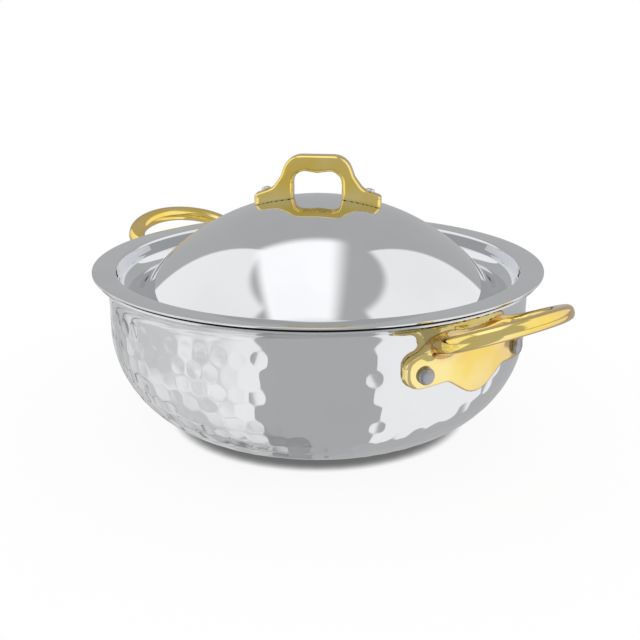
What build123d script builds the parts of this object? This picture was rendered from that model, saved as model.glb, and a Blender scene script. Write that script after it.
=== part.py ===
from build123d import *
import math
import os

# Saute pan with a domed lid, in millimetres. +Z is up and the origin is the middle of the base.
# The two side handles lie along X. All pieces share this one frame.

# Pan body: a flat base, a quarter-round corner, a straight wall and a flared rim
WALL_RADIUS = 122.6  # outside of the straight wall
BASE_RADIUS = 62.0  # flat part of the base
RIM_HEIGHT = 93.0  # top of the rim above the table
RIM_BEND = 10.0  # outside radius of the flare
RIM_BEND_ANGLE = 70.0  # how far the sheet turns outwards, in degrees

# The five sheets of the pan, from the outside in: name and thickness
PLIES = (
    ("outer_steel_ply", 0.5),
    ("outer_aluminium_ply", 0.5),
    ("middle_aluminium_ply", 0.7),
    ("inner_aluminium_ply", 0.5),
    ("inner_steel_ply", 0.4),
)

# Lid: a flange that rests on the rim, a step into the pan, a trough and a dome
LID_SHEET = 1.2
LID_GAP = 0.2  # air between the flange and the rim
LID_OVERHANG = 2.3  # flange beyond the outer edge of the rim
STEP_CLEARANCE = 1.0  # air between the lid's step and the pan's inside wall
STEP_BEND = 2.0  # top radius of the bend from the flange to the step
TROUGH_RADIUS = 8.5  # top radius of the trough
TROUGH_DROP = 6.94  # centre of the trough's arc below the top of the flange
DOME_RISE = 38.0  # top of the dome above the top of the flange

# Side handle: a plate against the wall, with two ears and a lower lobe
PLATE_THICKNESS = 4.4
PLATE_GAP = 0.08  # air between the plate and the wall
RIVET_HEIGHT = 64.5  # rivet centres above the table
RIVET_ANGLE = 16.0  # rivet centres, each side of the handle's middle, in degrees
EAR_REACH = 44.4  # half length of the plate
EAR_BELOW = 8.2  # ear below and above the rivet centre
EAR_ABOVE = 8.0
EAR_ROUND = 7.8
LOBE_BOTTOM = 45.4
LOBE_ROUND = 15.0
NECK_OFFSET = 20.5  # where the ear runs into the lobe
NECK_HEIGHT = 58.6
NECK_ROUND = 7.0
SHOULDER_OFFSET = 17.0  # top corners of the plate
SHOULDER_HEIGHT = 83.0
SHOULDER_ROUND = 12.0
PLATE_EDGE_ROUND = 1.2

# Loop of the side handle: a bar in a plane that tips upwards from the wall
LOOP_TILT = 23.0  # degrees
LOOP_HEIGHT = 78.0  # that plane's height where it meets the wall
LOOP_ROOT_OFFSET = 21.0  # half distance between the two ends of the bar
LOOP_ROOT_DEPTH = 4.0  # ends of the bar, inside the wall's surface
LOOP_ROOT_AIM = (1.0, 0.75)  # direction of the ends, outwards and sideways
LOOP_WIDEST = 36.5  # half width between the bar's centre lines
LOOP_WIDEST_OUT = 20.0
LOOP_REACH = 46.5
BAR_WIDTH = 10.5
BAR_THICKNESS = 8.4
ROOT_SWELL = 1.35  # the bar's size at its ends against its size elsewhere

# Rivets: shank, outside head, and the head inside the pan or under the lid
RIVET_FIT = 0.03  # radial air in each rivet hole
PAN_RIVET_RADIUS = 2.6
PAN_HEAD_RADIUS = 4.5
PAN_HEAD_HEIGHT = 3.0
PAN_TAIL_RADIUS = 5.2
PAN_TAIL_HEIGHT = 1.6
LID_RIVET_RADIUS = 1.7
LID_HEAD_RADIUS = 2.6
LID_HEAD_HEIGHT = 1.8
LID_SEAT_FIT = 0.15  # radial air round the head in its flat seat on the foot
LID_TAIL_RADIUS = 3.4
LID_TAIL_HEIGHT = 1.2

# Lid handle: a cast arch on two feet, across the middle of the lid
LID_HANDLE_TURN = 42.3  # degrees from +X
LID_HANDLE_GAP = 0.05  # air between the feet and the dome
FOOT_REACH = 37.0  # end of each foot from the lid's middle
FOOT_RIVET_SETBACK = 8.2  # rivet from the end of its foot
FOOT_END_HEIGHT = 1.2  # top of the foot's end, above the dome's top
FOOT_ROOT_OFFSET = 26.5  # where the foot runs into the leg
FOOT_ROOT_HEIGHT = 5.0  # above the dome's top
FOOT_ROUND = 8.0
ARCH_TOP = 24.4  # above the dome's top
ARCH_TOP_OFFSET = 17.0
ARCH_ROUND = 11.0
LEG_OFFSET = 21.4  # outside of the leg half way up
LEG_HEIGHT = 12.0
LEG_ROUND = 12.0
WINDOW_HALF_WIDTH = 14.2
WINDOW_TOP = 16.4
WINDOW_ROUND = 7.0
GRIP_POINT_DROP = 2.2  # small point under the middle of the grip
ARCH_DEPTH = 11.0

PLY_TOTAL = sum(thickness for _, thickness in PLIES)
INSIDE_RADIUS = WALL_RADIUS - PLY_TOTAL
CORNER_RADIUS = WALL_RADIUS - BASE_RADIUS
RIM_TURN = math.radians(RIM_BEND_ANGLE)
FLARE_HEIGHT = RIM_HEIGHT - (RIM_BEND + PLY_TOTAL) * math.sin(RIM_TURN)
RIM_RADIUS = WALL_RADIUS + RIM_BEND * (1 - math.cos(RIM_TURN))
LID_RADIUS = RIM_RADIUS + LID_OVERHANG
PLATE_FRONT = PLATE_GAP + PLATE_THICKNESS
LID_UNDER = RIM_HEIGHT + LID_GAP
LID_TOP = LID_UNDER + LID_SHEET
DOME_TOP = LID_TOP + DOME_RISE
STEP_RADIUS = INSIDE_RADIUS - STEP_CLEARANCE - LID_SHEET
TROUGH_OFFSET = STEP_RADIUS - TROUGH_RADIUS
DOME_DEPTH = DOME_RISE + TROUGH_DROP
DOME_RADIUS = (TROUGH_OFFSET**2 + DOME_DEPTH**2 - TROUGH_RADIUS**2) / (2 * (TROUGH_RADIUS + DOME_DEPTH))
DOME_CENTRE = DOME_TOP - DOME_RADIUS
FOOT_RIVET_OFFSET = FOOT_REACH - FOOT_RIVET_SETBACK
HANDLE_TURNS = {"front": 0, "rear": 180}
LID_FOOT_TURNS = {"first": 0, "second": 180}
LOW = (Align.CENTER, Align.CENTER, Align.MIN)
ABOVE = Box(DOME_RADIUS, DOME_RADIUS, DOME_RADIUS, align=LOW)


def ring_about_z(edges):
    """Solid of revolution from a closed outline given as radius and height."""
    return revolve(Plane.XZ * make_face(edges), Axis.Z, 360)


def pan_profile(inset):
    """The pan's profile, inset from its outside surface, from the axis to the rim."""
    corner = CORNER_RADIUS - inset
    wall = WALL_RADIUS - inset
    bend = RIM_BEND + inset
    bend_centre = (WALL_RADIUS + RIM_BEND, FLARE_HEIGHT)
    diagonal = corner * math.sqrt(0.5)
    return [
        Line((0, inset), (BASE_RADIUS, inset)),
        ThreePointArc(
            (BASE_RADIUS, inset),
            (BASE_RADIUS + diagonal, CORNER_RADIUS - diagonal),
            (wall, CORNER_RADIUS),
        ),
        Line((wall, CORNER_RADIUS), (wall, FLARE_HEIGHT)),
        CenterArc(bend_centre, bend, 180, -RIM_BEND_ANGLE),
    ]


def rim_end(inset):
    """End of the flare for the profile with this inset."""
    bend = RIM_BEND + inset
    return (
        WALL_RADIUS + RIM_BEND - bend * math.cos(RIM_TURN),
        FLARE_HEIGHT + bend * math.sin(RIM_TURN),
    )


def pan_ply(inset, thickness):
    """One sheet of the pan between two insets."""
    outer = pan_profile(inset)
    inner = pan_profile(inset + thickness)
    ends = [
        Line(rim_end(inset), rim_end(inset + thickness)),
        Line((0, inset), (0, inset + thickness)),
    ]
    return ring_about_z(outer + inner + ends)


def pan_fill(inset):
    """A solid that fills the pan up to the profile with this inset."""
    radius, height = rim_end(inset)
    closing = [Line((radius, height), (0, height)), Line((0, height), (0, inset))]
    return ring_about_z(pan_profile(inset) + closing)


def at_pan_rivet(turn, side):
    """Place of one side-handle rivet: its local Z points straight out of the wall."""
    angle = turn + side * RIVET_ANGLE
    return Rotation(0, 0, angle) * Pos(0, 0, RIVET_HEIGHT) * Rotation(0, 90, 0)


def pan_rivet_holes():
    """Cutters for every rivet through the pan's wall."""
    cutter = Cylinder(PAN_RIVET_RADIUS + RIVET_FIT, WALL_RADIUS + PLATE_FRONT + 1, align=LOW)
    return [at_pan_rivet(turn, side) * cutter for turn in HANDLE_TURNS.values() for side in (-1, 1)]


def round_head(radius, height):
    """Low domed rivet head whose foot continues below local Z = 0."""
    rise = height * 0.6
    dome = (radius**2 + rise**2) / (2 * rise)
    cap = Pos(0, 0, height - dome) * Sphere(dome)
    return Pos(0, 0, -height) * Cylinder(radius, 2 * height, align=LOW) & cap


def pan_rivet(turn, side):
    """Rivet of a side handle, with a domed head outside and a low head inside the pan."""
    place = at_pan_rivet(turn, side)
    front = WALL_RADIUS + PLATE_FRONT
    head = place * Pos(0, 0, front) * round_head(PAN_HEAD_RADIUS, PAN_HEAD_HEIGHT)
    head -= pan_fill(-PLATE_FRONT)
    tail = place * Pos(0, 0, INSIDE_RADIUS) * Rotation(180, 0, 0)
    tail = tail * round_head(PAN_TAIL_RADIUS, PAN_TAIL_HEIGHT)
    tail &= pan_fill(PLY_TOTAL)
    shank = place * Pos(0, 0, INSIDE_RADIUS - PAN_TAIL_HEIGHT / 2)
    shank = shank * Cylinder(PAN_RIVET_RADIUS, PLY_TOTAL + PLATE_FRONT + PAN_TAIL_HEIGHT, align=LOW)
    return shank + head + tail


def plate_outline():
    """Front view of the handle plate: two round ears, a lower lobe and a straight top."""
    half = [
        (NECK_OFFSET, NECK_HEIGHT),
        (EAR_REACH, RIVET_HEIGHT - EAR_BELOW),
        (EAR_REACH, RIVET_HEIGHT + EAR_ABOVE),
        (SHOULDER_OFFSET, SHOULDER_HEIGHT),
    ]
    mirrored = [(-y, z) for y, z in reversed(half)]
    outline = Polygon((0, LOBE_BOTTOM), *half, *mirrored, align=None)
    corners = outline.vertices()
    ears = [v for v in corners if abs(v.X) > EAR_REACH - 1]
    outline = fillet(ears, EAR_ROUND)
    rounds = ((NECK_ROUND, NECK_HEIGHT), (LOBE_ROUND, LOBE_BOTTOM), (SHOULDER_ROUND, SHOULDER_HEIGHT))
    for radius, height in rounds:
        outline = fillet([v for v in outline.vertices() if abs(v.Y - height) < 0.01], radius)
    return outline


def handle_plate():
    """The plate as a block: its front follows the wall, its back is still inside the pan."""
    blank = extrude(Plane.YZ * plate_outline(), WALL_RADIUS + RIM_BEND) & pan_fill(-PLATE_FRONT)
    front = [edge for edge in blank.edges() if edge.center().X > WALL_RADIUS - RIM_BEND]
    return fillet(front, PLATE_EDGE_ROUND)


def half_loop():
    """Half of the loop's bar, from its thicker end at the plate to the middle of the grip."""
    tilt = math.radians(LOOP_TILT)
    outwards = (math.cos(tilt), 0, math.sin(tilt))
    normal = (-math.sin(tilt), 0, math.cos(tilt))
    plane = Plane(origin=(WALL_RADIUS, 0, LOOP_HEIGHT), x_dir=outwards, z_dir=normal)
    root = (-LOOP_ROOT_DEPTH, LOOP_ROOT_OFFSET)
    widest = (LOOP_WIDEST_OUT, LOOP_WIDEST)
    path = plane * Spline(root, widest, (LOOP_REACH, 0), tangents=[LOOP_ROOT_AIM, (0, -1)])
    sections = []
    for position, swell in ((0, ROOT_SWELL), (0.3, 1), (1, 1)):
        place = Plane(origin=path @ position, x_dir=normal, z_dir=path % position)
        sections.append(place * Ellipse(swell * BAR_THICKNESS / 2, swell * BAR_WIDTH / 2))
    return sweep(sections, path=path, multisection=True)


def side_handle(turn):
    """Plate and loop in one casting, with two rivet holes."""
    half = half_loop()
    casting = handle_plate() + half + mirror(half, Plane.XZ)
    casting = Rotation(0, 0, turn) * (casting - pan_fill(-PLATE_GAP))
    for cutter in pan_rivet_holes():
        casting -= cutter
    return casting


def lid_surface(depth):
    """The lid's profile at a depth below its top surface, from the axis to the flange's edge."""
    dome = DOME_RADIUS - depth
    trough = TROUGH_RADIUS + depth
    bend = STEP_BEND - depth
    reach = DOME_RADIUS + TROUGH_RADIUS
    trough_z = LID_TOP - TROUGH_DROP
    slope = math.degrees(math.asin(TROUGH_OFFSET / reach))
    bend_x = STEP_RADIUS + STEP_BEND
    bend_z = LID_TOP - STEP_BEND
    return [
        CenterArc((0, DOME_CENTRE), dome, 90, -slope),
        CenterArc((TROUGH_OFFSET, trough_z), trough, 270 - slope, 90 + slope),
        Line((TROUGH_OFFSET + trough, trough_z), (bend_x - bend, bend_z)),
        CenterArc((bend_x, bend_z), bend, 180, -90),
        Line((bend_x, bend_z + bend), (LID_RADIUS, bend_z + bend)),
    ]


def lid_shell():
    """The pressed lid sheet with holes for its handle's rivets."""
    ends = [
        Line((0, DOME_TOP), (0, DOME_TOP - LID_SHEET)),
        Line((LID_RADIUS, LID_TOP), (LID_RADIUS, LID_UNDER)),
    ]
    shell = ring_about_z(lid_surface(0) + lid_surface(LID_SHEET) + ends)
    for cutter in lid_rivet_holes():
        shell -= cutter
    return shell


def at_lid_rivet(turn):
    """Place of one lid rivet: local Z = 0 is the middle of the dome and Z points out of it."""
    lean = math.degrees(math.asin(FOOT_RIVET_OFFSET / DOME_RADIUS))
    return Pos(0, 0, DOME_CENTRE) * Rotation(0, 0, LID_HANDLE_TURN + turn) * Rotation(0, lean, 0)


def lid_rivet_holes():
    """Cutters for the two rivets through the lid and the feet of its handle."""
    cutter = Cylinder(LID_RIVET_RADIUS + RIVET_FIT, DOME_RADIUS + ARCH_TOP, align=LOW)
    return [at_lid_rivet(turn) * cutter for turn in LID_FOOT_TURNS.values()]


def foot_top_at_rivet():
    """Distance from the dome's middle to the foot's top surface, along the rivet."""
    lean = math.asin(FOOT_RIVET_OFFSET / DOME_RADIUS)
    run = FOOT_REACH - FOOT_ROOT_OFFSET
    slope = (FOOT_ROOT_HEIGHT - FOOT_END_HEIGHT) / run
    top_on_axis = DOME_RADIUS + FOOT_ROOT_HEIGHT + slope * FOOT_ROOT_OFFSET
    return top_on_axis / (math.cos(lean) + slope * math.sin(lean))


def lid_rivet(turn):
    """Rivet through one foot of the lid's handle, with a low head under the lid."""
    place = at_lid_rivet(turn)
    top = foot_top_at_rivet()
    under = DOME_RADIUS - LID_SHEET
    head = Pos(0, 0, top) * (round_head(LID_HEAD_RADIUS, LID_HEAD_HEIGHT) & ABOVE)
    tail = Pos(0, 0, under) * Rotation(180, 0, 0) * round_head(LID_TAIL_RADIUS, LID_TAIL_HEIGHT)
    tail &= Sphere(under)
    shank = Pos(0, 0, under - LID_TAIL_HEIGHT / 2)
    shank = shank * Cylinder(LID_RIVET_RADIUS, top - under + LID_TAIL_HEIGHT, align=LOW)
    return place * (shank + head + tail)


def lid_handle_outline():
    """Side view of the lid's handle above the dome's middle, with its window left filled."""
    half = [
        (ARCH_TOP_OFFSET, ARCH_TOP),
        (LEG_OFFSET, LEG_HEIGHT),
        (FOOT_ROOT_OFFSET, FOOT_ROOT_HEIGHT),
        (FOOT_REACH, FOOT_END_HEIGHT),
        (FOOT_REACH, -FOOT_REACH),
    ]
    outline = Polygon(*half, *[(-x, z) for x, z in reversed(half)], align=None)
    for radius, (offset, height) in zip((ARCH_ROUND, LEG_ROUND, FOOT_ROUND), half):
        corners = [v for v in outline.vertices() if abs(v.Y - height) < 0.01]
        outline = fillet(corners, radius)
    return outline


def lid_handle_window():
    """The finger opening, with a small point in the middle of its top edge."""
    corners = [
        (WINDOW_HALF_WIDTH, -FOOT_REACH),
        (WINDOW_HALF_WIDTH, WINDOW_TOP),
        (0, WINDOW_TOP - GRIP_POINT_DROP),
        (-WINDOW_HALF_WIDTH, WINDOW_TOP),
        (-WINDOW_HALF_WIDTH, -FOOT_REACH),
    ]
    window = Polygon(*corners, align=None)
    return fillet([v for v in window.vertices() if abs(v.Y - WINDOW_TOP) < 0.01], WINDOW_ROUND)


def lid_handle():
    """The cast handle of the lid: feet shaped to the dome, a flat seat and a hole for each rivet."""
    side_view = Plane.XZ * (lid_handle_outline() - lid_handle_window())
    arch = extrude(side_view, ARCH_DEPTH / 2, both=True)
    plan = SlotOverall(2 * FOOT_REACH + ARCH_DEPTH * 0.2, ARCH_DEPTH)
    arch &= extrude(plan, ARCH_TOP + FOOT_REACH, both=True)
    arch = Pos(0, 0, DOME_TOP) * arch - Pos(0, 0, DOME_CENTRE) * Sphere(DOME_RADIUS + LID_HANDLE_GAP)
    arch = Rotation(0, 0, LID_HANDLE_TURN) * arch
    seat = Pos(0, 0, foot_top_at_rivet())
    seat = seat * Cylinder(LID_HEAD_RADIUS + LID_SEAT_FIT, ARCH_TOP, align=LOW)
    for turn in LID_FOOT_TURNS.values():
        arch -= at_lid_rivet(turn) * seat
    for cutter in lid_rivet_holes():
        arch -= cutter
    return arch


os.makedirs("parts", exist_ok=True)
inset = 0.0
for name, thickness in PLIES:
    sheet = pan_ply(inset, thickness)
    for cutter in pan_rivet_holes():
        sheet -= cutter
    export_step(sheet, f"parts/{name}.step")
    inset += thickness
for name, turn in HANDLE_TURNS.items():
    export_step(side_handle(turn), f"parts/{name}_handle.step")
    for side_name, side in (("right", -1), ("left", 1)):
        export_step(pan_rivet(turn, side), f"parts/{name}_handle_{side_name}_rivet.step")
export_step(lid_shell(), "parts/lid_shell.step")
export_step(lid_handle(), "parts/lid_handle.step")
for name, turn in LID_FOOT_TURNS.items():
    export_step(lid_rivet(turn), f"parts/lid_handle_{name}_rivet.step")
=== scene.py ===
"""Saute pan with a hammered body, a mirror-polished lid and brass handles."""

import math

import bpy
import numpy as np
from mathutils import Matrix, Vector


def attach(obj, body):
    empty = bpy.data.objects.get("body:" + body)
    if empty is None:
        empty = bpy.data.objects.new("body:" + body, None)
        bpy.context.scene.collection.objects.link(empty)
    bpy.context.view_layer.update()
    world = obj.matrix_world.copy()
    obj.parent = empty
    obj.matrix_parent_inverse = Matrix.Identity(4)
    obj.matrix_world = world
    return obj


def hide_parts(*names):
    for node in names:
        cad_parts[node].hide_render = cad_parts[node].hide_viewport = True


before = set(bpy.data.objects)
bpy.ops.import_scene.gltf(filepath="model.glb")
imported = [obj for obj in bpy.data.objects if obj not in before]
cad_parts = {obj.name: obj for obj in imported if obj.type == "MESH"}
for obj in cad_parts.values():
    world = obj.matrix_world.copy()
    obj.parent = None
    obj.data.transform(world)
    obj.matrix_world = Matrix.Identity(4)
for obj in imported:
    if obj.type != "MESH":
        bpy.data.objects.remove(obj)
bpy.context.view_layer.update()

MM = 0.001

# Sizes in millimetres, as in the CAD model
WALL_RADIUS = 122.6
BASE_RADIUS = 62.0
CORNER_RADIUS = WALL_RADIUS - BASE_RADIUS
RIM_HEIGHT = 93.0
RIM_BEND = 10.0
RIM_TURN = math.radians(70)
PLY_TOTAL = 2.6
OUTER_PLY = 0.5
INNER_PLY = 0.4
FLARE_HEIGHT = RIM_HEIGHT - (RIM_BEND + PLY_TOTAL) * math.sin(RIM_TURN)
RIM_END = WALL_RADIUS + RIM_BEND - (RIM_BEND + PLY_TOTAL) * math.cos(RIM_TURN)
LID_SHEET = 1.2
LID_GAP = 0.2
LID_OVERHANG = 2.3
LID_UNDER = RIM_HEIGHT + LID_GAP
LID_TOP = LID_UNDER + LID_SHEET
LID_RADIUS = WALL_RADIUS + RIM_BEND * (1 - math.cos(RIM_TURN)) + LID_OVERHANG
STEP_CLEARANCE = 1.0
STEP_RADIUS = WALL_RADIUS - PLY_TOTAL - STEP_CLEARANCE - LID_SHEET
STEP_BEND = 2.0
TROUGH_RADIUS = 8.5
DOME_RADIUS = 130.0
DOME_RISE = 38.0
DOME_TOP = LID_TOP + DOME_RISE
DOME_CENTRE = DOME_TOP - DOME_RADIUS

# Side handle: plate, rivets and the loop's tilted plane
PLATE_GAP = 0.08
PLATE_THICKNESS = 4.4
PLATE_EDGE_ROUND = 1.7
PLATE_MIDDLE = 1.0
RIVET_HEIGHT = 64.5
RIVET_ANGLE = 16.0
LOBE_BOTTOM = 45.4
NECK = (20.5, 58.6)
EAR_REACH = 44.4
EAR_BELOW = 8.2
EAR_ABOVE = 8.0
SHOULDER = (17.0, 83.0)
LOOP_TILT = math.radians(23)
LOOP_HEIGHT = 78.0
LOOP_ROOT = (-4.0, 21.0)
LOOP_WIDEST = (20.0, 36.5)
LOOP_REACH = 46.5
BAR_HALF_WIDTH = 5.25
BAR_HALF_THICKNESS = 4.2
BAR_SWELL = 0.35
BAR_SWELL_SHARE = 0.3
BAR_SQUARENESS = 2.5
BAR_BLEND = 7.0

# Lid handle
LID_HANDLE_TURN = math.radians(42.3)
FOOT_RIVET_OFFSET = 28.8
FOOT_AT_RIVET = 7.01
FOOT_REACH = 37.0
FOOT_DEPTH = 14.0
FOOT_END_CENTRE = 33.5
FOOT_END_RADIUS = 6.0
FOOT_END_ROUND = 1.2
WINDOW_HALF_WIDTH = 14.2
WINDOW_TOP = 16.4
GRIP_POINT_DROP = 2.2
ARCH_HALF_DEPTH = 5.5
ARCH_EDGE_ROUND = 2.6
LID_HANDLE_GAP = 0.05

# Rivets: radius and height of each head, and radius of the shank
PAN_TAIL = (5.2, 1.6)
PAN_RIVET_RADIUS = 2.6
PAN_HEAD = (4.5, 3.0)
LID_TAIL = (3.4, 1.2)
LID_RIVET_RADIUS = 1.7
LID_HEAD = (2.6, 1.8)

# Studio round the pan, in metres, and the direction from the pan to the camera
STUDIO_RADIUS = 3.0
STUDIO_MIDDLE = 0.09
STUDIO_GREY = 0.475
FRONT = math.radians(-40.66)
CAMERA_PLACE = (0.4412, -0.3790, 0.2412)
CAMERA_AIM = (0.00811, -0.00539, 0.05995)
LENS = 56.69

rng = np.random.default_rng(7)


def arc(centre_x, centre_z, radius, start, end, count):
    """Points on an arc, from one angle to another in degrees."""
    angles = np.radians(np.linspace(start, end, count))
    return [(centre_x + radius * math.cos(a), centre_z + radius * math.sin(a)) for a in angles]


def line(start, end, count):
    """Points on a straight run, without its first point."""
    return [tuple(np.add(start, np.subtract(end, start) * k / count)) for k in range(1, count + 1)]


def new_object(name, points, faces, sharp=40):
    """Mesh object from points in millimetres, smooth apart from edges sharper than the angle."""
    mesh = bpy.data.meshes.new(name)
    mesh.from_pydata((np.asarray(points) * MM).tolist(), [], faces)
    mesh.validate()
    mesh.shade_smooth()
    mesh.set_sharp_from_angle(angle=math.radians(sharp))
    made = bpy.data.objects.new(name, mesh)
    bpy.context.scene.collection.objects.link(made)
    return made


def lathe_points(profile, segments):
    """Rings of points for a profile that starts and ends on the axis."""
    turn = np.linspace(0, 2 * math.pi, segments, endpoint=False)
    inner = np.asarray(profile[1:-1])
    rings = np.stack(
        [
            inner[:, 0, None] * np.cos(turn),
            inner[:, 0, None] * np.sin(turn),
            np.repeat(inner[:, 1, None], segments, axis=1),
        ],
        -1,
    )
    return rings


def lathe_object(name, rings, first_z, last_z, sharp=40):
    """Closed mesh from rings of points and a pole on the axis at each end."""
    count, segments = rings.shape[:2]
    points = np.concatenate([rings.reshape(-1, 3), [[0, 0, first_z], [0, 0, last_z]]])
    step = np.arange(segments)
    after = (step + 1) % segments
    faces = []
    for row in range(count - 1):
        low, high = row * segments, (row + 1) * segments
        faces += np.stack([low + step, high + step, high + after, low + after], -1).tolist()
    top, bottom = count * segments, count * segments + 1
    last = (count - 1) * segments
    faces += [(top, int(a), int(b)) for a, b in zip(step, after)]
    faces += [(bottom, int(last + b), int(last + a)) for a, b in zip(step, after)]
    return new_object(name, points, faces, sharp)


def lathe(name, profile, segments, sharp=40):
    """Closed solid of revolution."""
    return lathe_object(name, lathe_points(profile, segments), profile[0][1], profile[-1][1], sharp)


def pan_side(inset, corner_steps, wall_steps, flare_steps):
    """The pan's profile, inset from its outside, from the base's edge to the rim."""
    wall = WALL_RADIUS - inset
    points = arc(BASE_RADIUS, CORNER_RADIUS, CORNER_RADIUS - inset, -90, 0, corner_steps + 1)
    points += line((wall, CORNER_RADIUS), (wall, FLARE_HEIGHT), wall_steps)
    flare = arc(WALL_RADIUS + RIM_BEND, FLARE_HEIGHT, RIM_BEND + inset, 180, 110, flare_steps + 1)
    return points + flare[1:]


def hammer_marks(points):
    """Pushes the rings of the outer skin inwards where the hammer struck."""
    row_gap, mark_gap = 9.6, 10.6
    bare_rim = 3.0
    radius = np.hypot(points[..., 0], points[..., 1])[:, 0]
    height = points[:, 0, 2]
    tilt = np.clip(np.arcsin(np.clip((CORNER_RADIUS - height) / CORNER_RADIUS, 0, 1)), 0, None)
    along = np.where(height > CORNER_RADIUS, height - CORNER_RADIUS, -tilt * CORNER_RADIUS)
    turn = np.arctan2(points[..., 1], points[..., 0])
    dent = np.zeros(turn.shape)
    top = FLARE_HEIGHT - CORNER_RADIUS - bare_rim
    rows = int((top + math.pi / 2 * CORNER_RADIUS) / row_gap)
    for row in range(rows):
        middle = top - (row + 0.5) * row_gap
        ring = WALL_RADIUS if middle > 0 else BASE_RADIUS + CORNER_RADIUS * math.cos(middle / CORNER_RADIUS)
        count = int(round(2 * math.pi * ring / mark_gap))
        for k in range(count):
            mark = middle + rng.uniform(-0.9, 0.9)
            angle = (k + 0.5 * (row % 2) + rng.uniform(-0.09, 0.09)) * 2 * math.pi / count
            size = rng.uniform(4.7, 5.7)
            depth = rng.uniform(0.16, 0.28)
            near = np.nonzero(abs(along - mark) < size + 1)[0]
            if not len(near):
                continue
            across = (turn[near] - angle + math.pi) % (2 * math.pi) - math.pi
            across = across * radius[near, None]
            reach = (across**2 + (along[near, None] - mark) ** 2) / size**2
            dent[near] = np.maximum(dent[near], depth * (1 - reach))
    normal_out = np.where(height > CORNER_RADIUS, 1.0, np.cos(tilt))
    normal_up = np.where(height > CORNER_RADIUS, 0.0, -np.sin(tilt))
    moved = points.copy()
    moved[..., 0] -= dent * normal_out[:, None] * np.cos(turn)
    moved[..., 1] -= dent * normal_out[:, None] * np.sin(turn)
    moved[..., 2] -= dent * normal_up[:, None]
    return moved


def outer_skin():
    """The hammered outer sheet, with the marks as real dents."""
    segments = 672
    corner_steps, wall_steps = 88, 20
    outside = pan_side(0, corner_steps, wall_steps, 8)
    inside = pan_side(OUTER_PLY, 8, 1, 5)
    base = line((0, 0), (BASE_RADIUS, 0), 4)[:-1]
    profile = [(0, 0)] + base + outside
    profile += inside[::-1] + [(0, OUTER_PLY)]
    rings = lathe_points(profile, segments)
    first = len(base)
    last = first + corner_steps + 1 + wall_steps
    rings[first:last] = hammer_marks(rings[first:last])
    return lathe_object("hammered_skin", rings, 0, OUTER_PLY)


def inner_skin():
    """The cooking surface."""
    outside = pan_side(PLY_TOTAL - INNER_PLY, 24, 2, 12)
    inside = pan_side(PLY_TOTAL, 24, 2, 12)
    profile = [(0, PLY_TOTAL - INNER_PLY)] + outside + inside[::-1] + [(0, PLY_TOTAL)]
    return lathe("cooking_surface", profile, 256)


def lid_surface(depth, dome_steps):
    """The lid's profile at a depth below its top surface, from the axis to the flange."""
    dome = DOME_RADIUS - depth
    trough = TROUGH_RADIUS + depth
    bend = STEP_BEND - depth
    trough_x = STEP_RADIUS - TROUGH_RADIUS
    reach = DOME_RADIUS + TROUGH_RADIUS
    trough_z = DOME_CENTRE + math.sqrt(reach**2 - trough_x**2)
    slope = math.degrees(math.asin(trough_x / reach))
    bend_x, bend_z = STEP_RADIUS + STEP_BEND, LID_TOP - STEP_BEND
    points = arc(0, DOME_CENTRE, dome, 90, 90 - slope, dome_steps)
    points += arc(trough_x, trough_z, trough, 270 - slope, 360, 25)[1:]
    points += arc(bend_x, bend_z, bend, 180, 90, 9)
    return points


def lid_shell():
    """The pressed lid, its flange's edge slightly rounded."""
    top = lid_surface(0, 60)
    under = lid_surface(LID_SHEET, 30)
    edge = 0.35
    flange = [(LID_RADIUS - 4, LID_TOP)]
    flange += arc(LID_RADIUS - edge, LID_TOP - edge, edge, 90, 0, 5)
    flange += arc(LID_RADIUS - edge, LID_TOP - LID_SHEET + edge, edge, 0, -90, 5)
    profile = [(0, top[0][1])] + top[1:] + flange + under[:0:-1] + [(0, under[0][1])]
    return lathe("mirror_lid", profile, 288)


def rivet(name, spans, segments=40):
    """Rivet along local Z: tail head, shank and outside head, from the given radii and heights."""
    tail_radius, tail_height, shank, length, head_radius, head_height = spans
    profile = [(0, -tail_height)]
    profile += [(tail_radius * 0.6, -tail_height * 0.93), (tail_radius * 0.9, -tail_height * 0.6)]
    profile += [(tail_radius, -tail_height * 0.25), (tail_radius, 0), (shank, 0), (shank, length)]
    profile += [(head_radius - 0.15, length), (head_radius, length + 0.15)]
    side = head_height * 0.42
    profile += [(head_radius, length + side * 0.8)]
    for k in range(1, 9):
        a = math.radians(90 * k / 9)
        r = head_radius * math.cos(a) ** 0.75
        profile.append((r, length + side + (head_height - side) * math.sin(a) ** 0.9))
    profile.append((0, length + head_height))
    return lathe(name, profile, segments, 50)


def turned(made, angle, lean, lift):
    """Leans a mesh made along Z outwards by an angle, turns it about Z and lifts it."""
    co = np.empty(len(made.data.vertices) * 3)
    made.data.vertices.foreach_get("co", co)
    x, y, z = co.reshape(-1, 3).T
    x, z = x * math.cos(lean) + z * math.sin(lean), z * math.cos(lean) - x * math.sin(lean)
    x, y = x * math.cos(angle) - y * math.sin(angle), x * math.sin(angle) + y * math.cos(angle)
    made.data.vertices.foreach_set("co", np.stack([x, y, z + lift * MM], -1).ravel())
    made.data.update()
    return made


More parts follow.
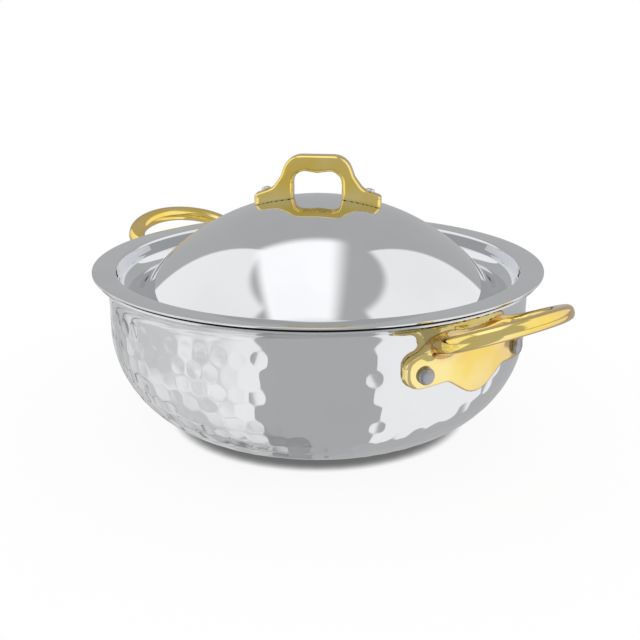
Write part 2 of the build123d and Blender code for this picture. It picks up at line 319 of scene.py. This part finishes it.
def rounded(corners, radii, steps=7):
    """Closed outline with its corners rounded by the given radii."""
    outline = []
    count = len(corners)
    for k, radius in enumerate(radii):
        corner = np.array(corners[k], float)
        to_last = np.subtract(corners[k - 1], corner)
        to_next = np.subtract(corners[(k + 1) % count], corner)
        to_last = to_last / np.linalg.norm(to_last)
        to_next = to_next / np.linalg.norm(to_next)
        half = math.acos(np.clip(to_last @ to_next, -1, 1)) / 2
        if radius == 0:
            outline.append(corner)
            continue
        middle = to_last + to_next
        centre = corner + middle / np.linalg.norm(middle) * radius / math.sin(half)
        start = corner + to_last * radius / math.tan(half) - centre
        end = corner + to_next * radius / math.tan(half) - centre
        sweep = math.atan2(start[0] * end[1] - start[1] * end[0], start @ end)
        for a in np.linspace(0, sweep, steps):
            c, s = math.cos(a), math.sin(a)
            outline.append(centre + [c * start[0] - s * start[1], s * start[0] + c * start[1]])
    return np.array(outline)


def outline_distance(outline, a, b):
    """Signed distance from points (a, b) to a closed outline, negative inside."""
    best = np.full(a.shape, 1e9)
    inside = np.zeros(a.shape, bool)
    for (x0, y0), (x1, y1) in zip(outline, np.roll(outline, -1, 0)):
        dx, dy = x1 - x0, y1 - y0
        t = np.clip(((a - x0) * dx + (b - y0) * dy) / max(dx * dx + dy * dy, 1e-12), 0, 1)
        best = np.minimum(best, (a - x0 - t * dx) ** 2 + (b - y0 - t * dy) ** 2)
        if dy:
            inside ^= ((y0 > b) != (y1 > b)) & (a < dx * (b - y0) / dy + x0)
    best = np.sqrt(best)
    return np.where(inside, -best, best)


def round_join(first, second, radius):
    """Intersection of two distances, with the edge between them rounded."""
    over = np.stack([first + radius, second + radius])
    return np.linalg.norm(np.maximum(over, 0), axis=0) + np.minimum(over.max(0), 0) - radius


def blend_join(first, second, radius):
    """Union of two distances, with a smooth fillet where they meet."""
    near = np.clip(0.5 + 0.5 * (second - first) / radius, 0, 1)
    return second + (first - second) * near - radius * near * (1 - near)


def field_surface(name, field, low, high, cell, rounds=3):
    """Closed mesh of the surface where a distance field is zero, from surface nets."""
    axes = [np.arange(a, b + cell, cell) for a, b in zip(low, high)]
    grid = np.stack(np.meshgrid(*axes, indexing="ij"), -1)
    value = field(grid.reshape(-1, 3)).reshape(grid.shape[:3])
    shape = np.array(value.shape) - 1
    total = np.zeros((*shape, 3))
    hits = np.zeros(shape)
    crossings = []
    for axis in range(3):
        step = [slice(None)] * 3
        back = [slice(None)] * 3
        step[axis], back[axis] = slice(1, None), slice(None, -1)
        one, two = value[tuple(back)], value[tuple(step)]
        crossed = (one < 0) != (two < 0)
        index = np.argwhere(crossed)
        a, b = one[crossed], two[crossed]
        point = index.astype(float)
        point[:, axis] += a / (a - b)
        others = [k for k in range(3) if k != axis]
        cells = []
        for da, db in ((0, 0), (-1, 0), (-1, -1), (0, -1)):
            where = index.copy()
            where[:, others[0]] += da
            where[:, others[1]] += db
            cells.append(where)
            np.add.at(total, tuple(where.T), point)
            np.add.at(hits, tuple(where.T), 1)
        flip = (a < 0) ^ (axis == 1)
        crossings.append((cells, flip))
    number = np.full(shape, -1)
    used = hits > 0
    number[used] = np.arange(used.sum())
    points = total[used] / hits[used][:, None] * cell + np.asarray(low)
    quads = []
    for cells, flip in crossings:
        quad = np.stack([number[tuple(where.T)] for where in cells], -1)
        quads.append(np.where(flip[:, None], quad, quad[:, ::-1]))
    quads = np.concatenate(quads)
    edges = np.concatenate([quads[:, [k, (k + 1) % 4]] for k in range(4)])
    degree = np.bincount(edges.ravel(), minlength=len(points))[:, None]
    for turn in range(rounds + 1):
        if turn:
            mean = np.zeros_like(points)
            np.add.at(mean, edges[:, 0], points[edges[:, 1]])
            np.add.at(mean, edges[:, 1], points[edges[:, 0]])
            points = points + 0.6 * (mean / degree - points)
        for _ in range(3):
            here = field(points)
            slope = np.stack(
                [(field(points + d) - field(points - d)) / 0.1 for d in np.eye(3) * 0.05], -1
            )
            size = np.maximum((slope**2).sum(-1), 0.05)
            move = slope * (here / size)[:, None]
            length = np.linalg.norm(move, axis=1, keepdims=True)
            points = points - move * np.minimum(1, 0.5 * cell / np.maximum(length, 1e-9))
    return new_object(name, points, quads.tolist(), 50)


def wall_distance(points):
    """Distance outside the pan's outer surface."""
    radius = np.hypot(points[:, 0], points[:, 1])
    height = points[:, 2]
    corner = np.hypot(radius - BASE_RADIUS, height - CORNER_RADIUS) - CORNER_RADIUS
    flare = RIM_BEND - np.hypot(radius - WALL_RADIUS - RIM_BEND, height - FLARE_HEIGHT)
    wall = radius - WALL_RADIUS
    upper = np.where(radius < WALL_RADIUS + RIM_BEND, flare, wall)
    return np.where(height < CORNER_RADIUS, corner, np.where(height < FLARE_HEIGHT, wall, upper))


def plate_outline():
    """Front view of the handle plate: two round ears, a lower lobe and a straight top."""
    half = [
        (*NECK, 7),
        (EAR_REACH, RIVET_HEIGHT - EAR_BELOW, 7.8),
        (EAR_REACH, RIVET_HEIGHT + EAR_ABOVE, 7.8),
        (*SHOULDER, 12),
    ]
    corners = [(0, LOBE_BOTTOM, 15), *half, *[(-y, z, radius) for y, z, radius in reversed(half)]]
    return rounded([corner[:2] for corner in corners], [corner[2] for corner in corners])


PLATE = plate_outline()


def bezier(points, count):
    """Points on a cubic curve."""
    t = np.linspace(0, 1, count)[:, None]
    a, b, c, d = np.array(points, float)
    return a * (1 - t) ** 3 + 3 * b * t * (1 - t) ** 2 + 3 * c * t**2 * (1 - t) + d * t**3


def loop_line():
    """Half of the loop's centre line in its own plane: outwards, sideways."""
    near = bezier([LOOP_ROOT, (3, 27), (11, 36), LOOP_WIDEST], 28)
    far = bezier([LOOP_WIDEST, (33, 37.2), (LOOP_REACH, 20), (LOOP_REACH, 0)], 36)
    past_middle = (LOOP_REACH, -3)
    return np.concatenate([near, far[1:], [past_middle]])


LOOP = loop_line()


def bar_distance(points):
    """Distance to the loop's bar, with its rounded cross-section and thicker ends."""
    out = points[:, 0] - WALL_RADIUS
    up = points[:, 2] - LOOP_HEIGHT
    flat = out * math.cos(LOOP_TILT) + up * math.sin(LOOP_TILT)
    off = up * math.cos(LOOP_TILT) - out * math.sin(LOOP_TILT)
    side = abs(points[:, 1])
    best = np.full(flat.shape, 1e9)
    where = np.zeros(flat.shape)
    length = 0.0
    total = np.linalg.norm(np.diff(LOOP, axis=0), axis=1).sum()
    for (x0, y0), (x1, y1) in zip(LOOP[:-1], LOOP[1:]):
        dx, dy = x1 - x0, y1 - y0
        run = math.hypot(dx, dy)
        t = np.clip(((flat - x0) * dx + (side - y0) * dy) / run**2, 0, 1)
        gap = (flat - x0 - t * dx) ** 2 + (side - y0 - t * dy) ** 2
        closer = gap < best
        best = np.where(closer, gap, best)
        where = np.where(closer, (length + t * run) / total, where)
        length += run
    swell = 1 + BAR_SWELL * np.clip(1 - where / BAR_SWELL_SHARE, 0, 1) ** 2
    wide, thick = BAR_HALF_WIDTH * swell, BAR_HALF_THICKNESS * swell
    power = BAR_SQUARENESS
    size = ((np.sqrt(best) / wide) ** power + (abs(off) / thick) ** power) ** (1 / power)
    return (size - 1) * BAR_HALF_THICKNESS


def side_handle_field(points):
    """Plate and loop of one side handle as one casting."""
    distance = wall_distance(points)
    outline = outline_distance(PLATE, points[:, 1], points[:, 2])
    half_thickness = PLATE_THICKNESS + PLATE_GAP - PLATE_MIDDLE
    plate = round_join(outline, abs(distance - PLATE_MIDDLE) - half_thickness, PLATE_EDGE_ROUND)
    casting = blend_join(plate, bar_distance(points), BAR_BLEND)
    return np.maximum(casting, PLATE_GAP - distance)


def lid_handle_outline():
    """Side view of the lid's arch with its window: offset and height above the dome's top, and radius."""
    half = [
        (17, 24.4, 11),
        (21.4, 12, 12),
        (26.5, 5, 8),
        (FOOT_REACH, 1.2, 2),
        (FOOT_REACH, -FOOT_DEPTH, 0),
        (WINDOW_HALF_WIDTH, -FOOT_DEPTH, 0),
        (WINDOW_HALF_WIDTH, WINDOW_TOP, 7),
    ]
    grip_point = (0, WINDOW_TOP - GRIP_POINT_DROP, 0.8)
    corners = [*half, grip_point, *[(-x, z, radius) for x, z, radius in reversed(half)]]
    return rounded([corner[:2] for corner in corners], [corner[2] for corner in corners])


LID_HANDLE = lid_handle_outline()


def lid_handle_field(points):
    """The lid's arch, in a frame with X along its feet."""
    along, across, up = points.T
    outline = outline_distance(LID_HANDLE, along, up - DOME_TOP)
    body = round_join(outline, abs(across) - ARCH_HALF_DEPTH, ARCH_EDGE_ROUND)
    foot_end = np.hypot(np.maximum(abs(along) - FOOT_END_CENTRE, 0), across) - FOOT_END_RADIUS
    dome = np.sqrt(along**2 + across**2 + (up - DOME_CENTRE) ** 2) - DOME_RADIUS
    body = round_join(body, foot_end, FOOT_END_ROUND)
    return np.maximum(body, LID_HANDLE_GAP - dome)


class Nodes:
    """Short helper for node trees."""

    def __init__(self, tree):
        self.tree = tree
        tree.nodes.clear()

    def add(self, kind, **settings):
        node = self.tree.nodes.new(kind)
        for key, value in settings.items():
            setattr(node, key, value)
        return node

    def link(self, value, socket):
        if isinstance(value, bpy.types.NodeSocket):
            self.tree.links.new(value, socket)
        else:
            socket.default_value = value

    def math(self, operation, *values):
        node = self.add("ShaderNodeMath", operation=operation)
        for value, socket in zip(values, node.inputs):
            self.link(value, socket)
        return node.outputs[0]

    def ramp(self, value, low, high, smooth=True):
        """0 below low and 1 above high."""
        kind = "SMOOTHSTEP" if smooth else "LINEAR"
        node = self.add("ShaderNodeMapRange", interpolation_type=kind)
        self.link(value, node.inputs["Value"])
        node.inputs["From Min"].default_value = low
        node.inputs["From Max"].default_value = high
        return node.outputs["Result"]

    def band(self, value, low, high, soft_low, soft_high):
        """1 between low and high, with soft ends."""
        up = self.ramp(value, low - soft_low, low + soft_low)
        down = self.ramp(value, high - soft_high, high + soft_high)
        return self.math("MULTIPLY", up, self.math("SUBTRACT", 1.0, down))

    def mix(self, factor, low, high):
        """Number that goes from low to high with the factor."""
        node = self.add("ShaderNodeMix", data_type="FLOAT")
        self.link(factor, node.inputs[0])
        self.link(low, node.inputs[2])
        self.link(high, node.inputs[3])
        return node.outputs[0]

    def colour(self, factor, low, high):
        node = self.add("ShaderNodeMix", data_type="RGBA")
        self.link(factor, node.inputs[0])
        self.link(low, node.inputs[6])
        self.link(high, node.inputs[7])
        return node.outputs[2]

    def noise(self, scale, detail):
        where = self.add("ShaderNodeTexCoord").outputs["Object"]
        node = self.add("ShaderNodeTexNoise")
        self.link(where, node.inputs["Vector"])
        node.inputs["Scale"].default_value = scale
        node.inputs["Detail"].default_value = detail
        return node.outputs["Fac"]


def seam_shadow_mask(n, radius, low, high):
    """1 outside a radius and between two heights, in millimetres, for the painted shadow line where lid and
    rim meet.
    """
    split = n.add("ShaderNodeSeparateXYZ")
    n.link(n.add("ShaderNodeTexCoord").outputs["Object"], split.inputs[0])
    x, y, z = split.outputs
    away = n.math("SQRT", n.math("ADD", n.math("MULTIPLY", x, x), n.math("MULTIPLY", y, y)))
    outside = n.ramp(away, (radius - 0.1) * MM, radius * MM)
    soft = 0.05 * MM
    return n.math("MULTIPLY", outside, n.band(z, low * MM, high * MM, soft, soft))


def metal(name, colour, roughness, scratch, bump=0.0, grain=900.0, second=None, edge=None, seam_shadow=None):
    """Metal with slight changes of tone and gloss, and if asked a fine grain, a darker edge colour at
    glancing angles as painted shade, and a painted shadow line where lid and rim meet.
    """
    made = bpy.data.materials.new(name)
    made.use_nodes = True
    n = Nodes(made.node_tree)
    shader = n.add("ShaderNodeBsdfPrincipled")
    out = n.add("ShaderNodeOutputMaterial")
    n.link(shader.outputs[0], out.inputs["Surface"])
    shader.inputs["Metallic"].default_value = 1.0
    cloud = n.noise(24.0, 4.0)
    second = second or tuple(0.965 * c for c in colour)
    tone = n.colour(n.ramp(cloud, 0.35, 0.65), (*colour, 1), (*second, 1))
    # Painted shade: towards glancing angles the colour turns to a darker brown, standing in for the brown
    # shadows on the brass.
    if edge:
        glance = n.add("ShaderNodeLayerWeight").outputs["Facing"]
        tone = n.colour(n.ramp(glance, 0.25, 0.8), tone, (*edge, 1))
    # Painted shadow: a near-black line where the lid's flange meets the rim, standing in for the shade in
    # the gap between them.
    if seam_shadow:
        tone = n.colour(seam_shadow_mask(n, *seam_shadow), tone, SEAM_SHADOW_COLOUR)
    n.link(tone, shader.inputs["Base Color"])
    fine = n.noise(grain, 2.0)
    rough = n.mix(n.ramp(fine, 0.3, 0.7, False), roughness - scratch, roughness + scratch)
    n.link(rough, shader.inputs["Roughness"])
    if bump:
        lift = n.add("ShaderNodeBump")
        lift.inputs["Strength"].default_value = 1.0
        lift.inputs["Distance"].default_value = bump * MM
        n.link(fine, lift.inputs["Height"])
        n.link(lift.outputs[0], shader.inputs["Normal"])
    return made


STEEL = (0.80, 0.81, 0.83)
SATIN = (0.66, 0.67, 0.69)
ALUMINIUM = (0.78, 0.79, 0.80)
RIVET = (0.42, 0.42, 0.44)
RIVET_DARK = (0.33, 0.33, 0.35)
LID_RIVET = (0.78, 0.78, 0.80)
BRASS = (0.98, 0.83, 0.38)
BRASS_DEEP = (0.94, 0.70, 0.15)
# Painted shade: the darker brown that the brass turns to at glancing angles.
BRASS_EDGE_SHADE = (0.78, 0.52, 0.20)
# Painted shadow: near black for the thin shade in the gap between the lid's flange and the rim, and the two
# bands where it is painted.
SEAM_SHADOW_COLOUR = (0.015, 0.015, 0.016, 1)
LID_SEAM_SHADOW = (LID_RADIUS - 0.6, LID_UNDER - 1, LID_UNDER + 0.25)
RIM_SEAM_SHADOW = (RIM_END - 0.1, RIM_HEIGHT - 1.5, RIM_HEIGHT + 1)

polished = metal("polished_steel", STEEL, 0.035, 0.012, seam_shadow=LID_SEAM_SHADOW)
hammered = metal("hammered_steel", STEEL, 0.06, 0.02)
satin = metal("satin_steel", SATIN, 0.3, 0.06, 0.004, seam_shadow=RIM_SEAM_SHADOW)
rivet_steel = metal("rivet_steel", RIVET, 0.36, 0.08, 0.02, 1400.0, RIVET_DARK)
lid_rivet_steel = metal("lid_rivet_steel", LID_RIVET, 0.25, 0.06, 0.01, 1400.0)
aluminium = metal("core_aluminium", ALUMINIUM, 0.32, 0.05, 0.003, seam_shadow=RIM_SEAM_SHADOW)
brass = metal("polished_brass", BRASS, 0.09, 0.02, 0.0, 700.0, BRASS_DEEP, BRASS_EDGE_SHADE)


def place(made, material, body, slot, *nodes):
    """Gives a piece its material and body, and hides the CAD nodes that it stands in for. The slot is not
    used.
    """
    made.data.materials.clear()
    made.data.materials.append(material)
    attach(made, body)
    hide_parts(*nodes)


place(outer_skin(), hammered, "pan", "hammered_steel", "outer_steel_ply")
place(inner_skin(), satin, "pan", "satin_steel", "inner_steel_ply")
place(lid_shell(), polished, "lid", "mirror_steel", "lid_shell")

for node in ("outer_aluminium_ply", "middle_aluminium_ply", "inner_aluminium_ply"):
    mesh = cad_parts[node].data
    mesh.materials.clear()
    mesh.materials.append(aluminium)

cell = 0.7
for end, angle in (("front", 0.0), ("rear", math.pi)):
    handle = field_surface(f"{end}_brass_handle", side_handle_field, (108, -48, 46), (178, 48, 106), cell)
    turned(handle, angle, 0.0, 0.0)
    place(handle, brass, "pan", "brass", f"{end}_handle")
    for side_name, side in (("right", -1), ("left", 1)):
        length = PLY_TOTAL + PLATE_GAP + PLATE_THICKNESS
        made = rivet(f"{end}_{side_name}_rivet", (*PAN_TAIL, PAN_RIVET_RADIUS, length, *PAN_HEAD))
        turned(made, 0.0, 0.0, WALL_RADIUS - PLY_TOTAL)
        turned(made, angle + side * math.radians(RIVET_ANGLE), math.pi / 2, RIVET_HEIGHT)
        place(made, rivet_steel, "pan", "rivet_steel", f"{end}_handle_{side_name}_rivet")

arch = field_surface("brass_lid_handle", lid_handle_field, (-42, -9, 120), (42, 9, 160), cell * 0.8)
turned(arch, LID_HANDLE_TURN, 0.0, 0.0)
place(arch, brass, "lid", "brass", "lid_handle")
lean = math.asin(FOOT_RIVET_OFFSET / DOME_RADIUS)
for count, angle in (("first", 0.0), ("second", math.pi)):
    spans = (*LID_TAIL, LID_RIVET_RADIUS, LID_SHEET + FOOT_AT_RIVET, *LID_HEAD)
    made = rivet(f"lid_{count}_rivet", spans, 28)
    turned(made, 0.0, 0.0, DOME_RADIUS - LID_SHEET)
    turned(made, LID_HANDLE_TURN + angle, lean, DOME_CENTRE)
    place(made, lid_rivet_steel, "lid", "rivet_steel", f"lid_handle_{count}_rivet")


def studio_mesh():
    """A large closed shell round the pan, for its reflections alone."""
    mesh = bpy.data.meshes.new("studio")
    columns, rows = 64, 32
    turn = np.linspace(0, 2 * math.pi, columns, endpoint=False)
    rise = np.radians(np.linspace(-90, 90, rows + 1))
    points = []
    for up in rise:
        level = STUDIO_RADIUS * math.cos(up)
        height = STUDIO_RADIUS * math.sin(up) + STUDIO_MIDDLE
        points += [(level * math.cos(t), level * math.sin(t), height) for t in turn]
    faces = []
    for row in range(rows):
        low, high = row * columns, (row + 1) * columns
        for k in range(columns):
            after = (k + 1) % columns
            faces.append((low + k, low + after, high + after, high + k))
    mesh.from_pydata(points, [], faces)
    made = bpy.data.objects.new("studio", mesh)
    bpy.context.scene.collection.objects.link(made)
    made.visible_camera = False
    made.visible_diffuse = False
    made.visible_shadow = False
    made.visible_transmission = False
    made.visible_volume_scatter = False
    return mesh


def upper_light(n, right, ahead, z, azimuth, height):
    """Pale grey with a white panel on the left and on the right, and a soft box overhead."""
    tall = (2, 61, 2.0, 2.5)
    left = n.math("MULTIPLY", n.band(azimuth, -137.5, -58, 1.0, 4.0), n.band(height, *tall))
    rightward = n.math("MULTIPLY", n.band(azimuth, 50, 137, 4.0, 1.0), n.band(height, *tall))
    value = n.mix(n.math("MAXIMUM", left, rightward), STUDIO_GREY, 1.0)
    above = n.math("MAXIMUM", z, 0.02)
    box_width = n.band(n.math("DIVIDE", right, above), -0.46, 0.16, 0.06, 0.09)
    box_depth = n.band(n.math("DIVIDE", ahead, above), -0.46, 0.55, 0.07, 0.1)
    return n.mix(n.math("MULTIPLY", box_width, box_depth), value, 1.2)


def lower_light(n, right, ahead, z, azimuth, where):
    """White floor at both sides, with a grey wedge in front and faint clouds on the left."""
    below = n.math("MAXIMUM", n.math("MULTIPLY", z, -1.0), 0.02)
    across = n.math("ABSOLUTE", n.math("DIVIDE", right, below))
    along = n.math("DIVIDE", ahead, below)
    edge = n.math("MAXIMUM", n.math("ADD", n.math("MULTIPLY", along, 0.44), 0.28), 0.14)
    wedge = n.math("SUBTRACT", 1.0, n.ramp(n.math("SUBTRACT", across, edge), -0.02, 0.02))
    side = n.mix(n.ramp(azimuth, -175, -72), 0.66, 1.0)
    side = n.mix(n.ramp(azimuth, 116, 120), side, 0.5)
    value = n.mix(wedge, side, STUDIO_GREY)
    cloud = n.add("ShaderNodeTexNoise")
    n.link(where, cloud.inputs["Vector"])
    cloud.inputs["Scale"].default_value = 1.6
    clouded = n.mix(n.ramp(cloud.outputs["Fac"], 0.35, 0.65), 0.72, 1.0)
    return n.math("MULTIPLY", value, n.mix(n.ramp(azimuth, -40, -58), 1.0, clouded))


def dark_stripes(n, azimuth, height):
    """1 on thin upright stripes low on the left, which draw the outlines of the hammer marks."""
    stripe_gap = 11.0
    place_in_gap = n.math("FRACT", n.math("DIVIDE", azimuth, stripe_gap))
    stripe = n.ramp(n.math("ABSOLUTE", n.math("SUBTRACT", place_in_gap, 0.5)), 0.09, 0.03)
    stripe = n.math("MULTIPLY", stripe, n.band(azimuth, -171, -112, 2.0, 6.0))
    return n.math("MULTIPLY", stripe, n.ramp(height, -4, -10))


def studio_wall():
    """The studio that the metal reflects, in angles from the camera's side of the pan."""
    material = bpy.data.materials.new("studio")
    material.use_nodes = True
    material.cycles.emission_sampling = "NONE"
    studio_mesh().materials.append(material)
    n = Nodes(material.node_tree)
    where = n.add("ShaderNodeNewGeometry").outputs["Position"]
    split = n.add("ShaderNodeSeparateXYZ")
    n.link(where, split.inputs[0])
    x, y = split.outputs[0], split.outputs[1]
    z = n.math("DIVIDE", n.math("SUBTRACT", split.outputs[2], STUDIO_MIDDLE), STUDIO_RADIUS)
    cx, cy = math.cos(FRONT) / STUDIO_RADIUS, math.sin(FRONT) / STUDIO_RADIUS
    ahead = n.math("ADD", n.math("MULTIPLY", x, cx), n.math("MULTIPLY", y, cy))
    right = n.math("ADD", n.math("MULTIPLY", x, -cy), n.math("MULTIPLY", y, cx))
    azimuth = n.math("MULTIPLY", n.math("ARCTAN2", right, ahead), math.degrees(1))
    height = n.math("MULTIPLY", n.math("ARCSINE", z), math.degrees(1))

    upper = upper_light(n, right, ahead, z, azimuth, height)
    lower = lower_light(n, right, ahead, z, azimuth, where)
    value = n.mix(n.ramp(height, -6, -3), lower, upper)
    value = n.mix(dark_stripes(n, azimuth, height), value, 0.22)

    glow = n.add("ShaderNodeEmission")
    n.link(value, glow.inputs["Strength"])
    glow.inputs["Color"].default_value = (1.0, 1.0, 1.0, 1)
    out = n.add("ShaderNodeOutputMaterial")
    n.link(glow.outputs[0], out.inputs["Surface"])


def floor():
    """White floor with the pan's faint wide shadow and a darker one close to where it touches."""
    mesh = bpy.data.meshes.new("floor")
    size = 30.0
    corners = [(-size, -size, 0), (size, -size, 0), (size, size, 0), (-size, size, 0)]
    mesh.from_pydata(corners, [], [(0, 1, 2, 3)])
    made = bpy.data.objects.new("floor", mesh)
    made.location.z = -0.2 * MM
    bpy.context.scene.collection.objects.link(made)
    made.visible_glossy = False
    material = bpy.data.materials.new("floor")
    material.use_nodes = True
    mesh.materials.append(material)
    n = Nodes(material.node_tree)
    diffuse = n.add("ShaderNodeBsdfDiffuse")
    shade = 0.12
    diffuse.inputs["Color"].default_value = (shade, shade, shade, 1)
    near = n.add("ShaderNodeAmbientOcclusion", samples=24)
    near.inputs["Distance"].default_value = 8 * MM
    open_share = n.ramp(near.outputs["AO"], 0.2, 0.8)
    glow = n.add("ShaderNodeEmission")
    seen = n.add("ShaderNodeLightPath").outputs["Is Camera Ray"]
    n.link(n.math("MULTIPLY", seen, n.mix(open_share, 0.1, 1 - shade)), glow.inputs["Strength"])
    total = n.add("ShaderNodeAddShader")
    n.link(diffuse.outputs[0], total.inputs[0])
    n.link(glow.outputs[0], total.inputs[1])
    out = n.add("ShaderNodeOutputMaterial")
    n.link(total.outputs[0], out.inputs["Surface"])


studio_wall()
floor()

world = bpy.data.worlds.new("world")
world.use_nodes = True
bpy.context.scene.world = world
n = Nodes(world.node_tree)
sky = n.add("ShaderNodeBackground")
sky.inputs["Color"].default_value = (1, 1, 1, 1)
sky.inputs["Strength"].default_value = 1.0
out = n.add("ShaderNodeOutputWorld")
n.link(sky.outputs[0], out.inputs["Surface"])
world.cycles_visibility.glossy = False

lens = bpy.data.cameras.new("camera")
lens.sensor_width = 36.0
lens.lens = LENS
lens.clip_start = 0.01
lens.clip_end = 100.0
camera = bpy.data.objects.new("camera", lens)
bpy.context.scene.collection.objects.link(camera)
camera.location = CAMERA_PLACE
aim = Vector(CAMERA_AIM) - camera.location
camera.rotation_euler = aim.to_track_quat("-Z", "Y").to_euler()
bpy.context.scene.camera = camera
bpy.context.scene.view_settings.view_transform = "Standard"
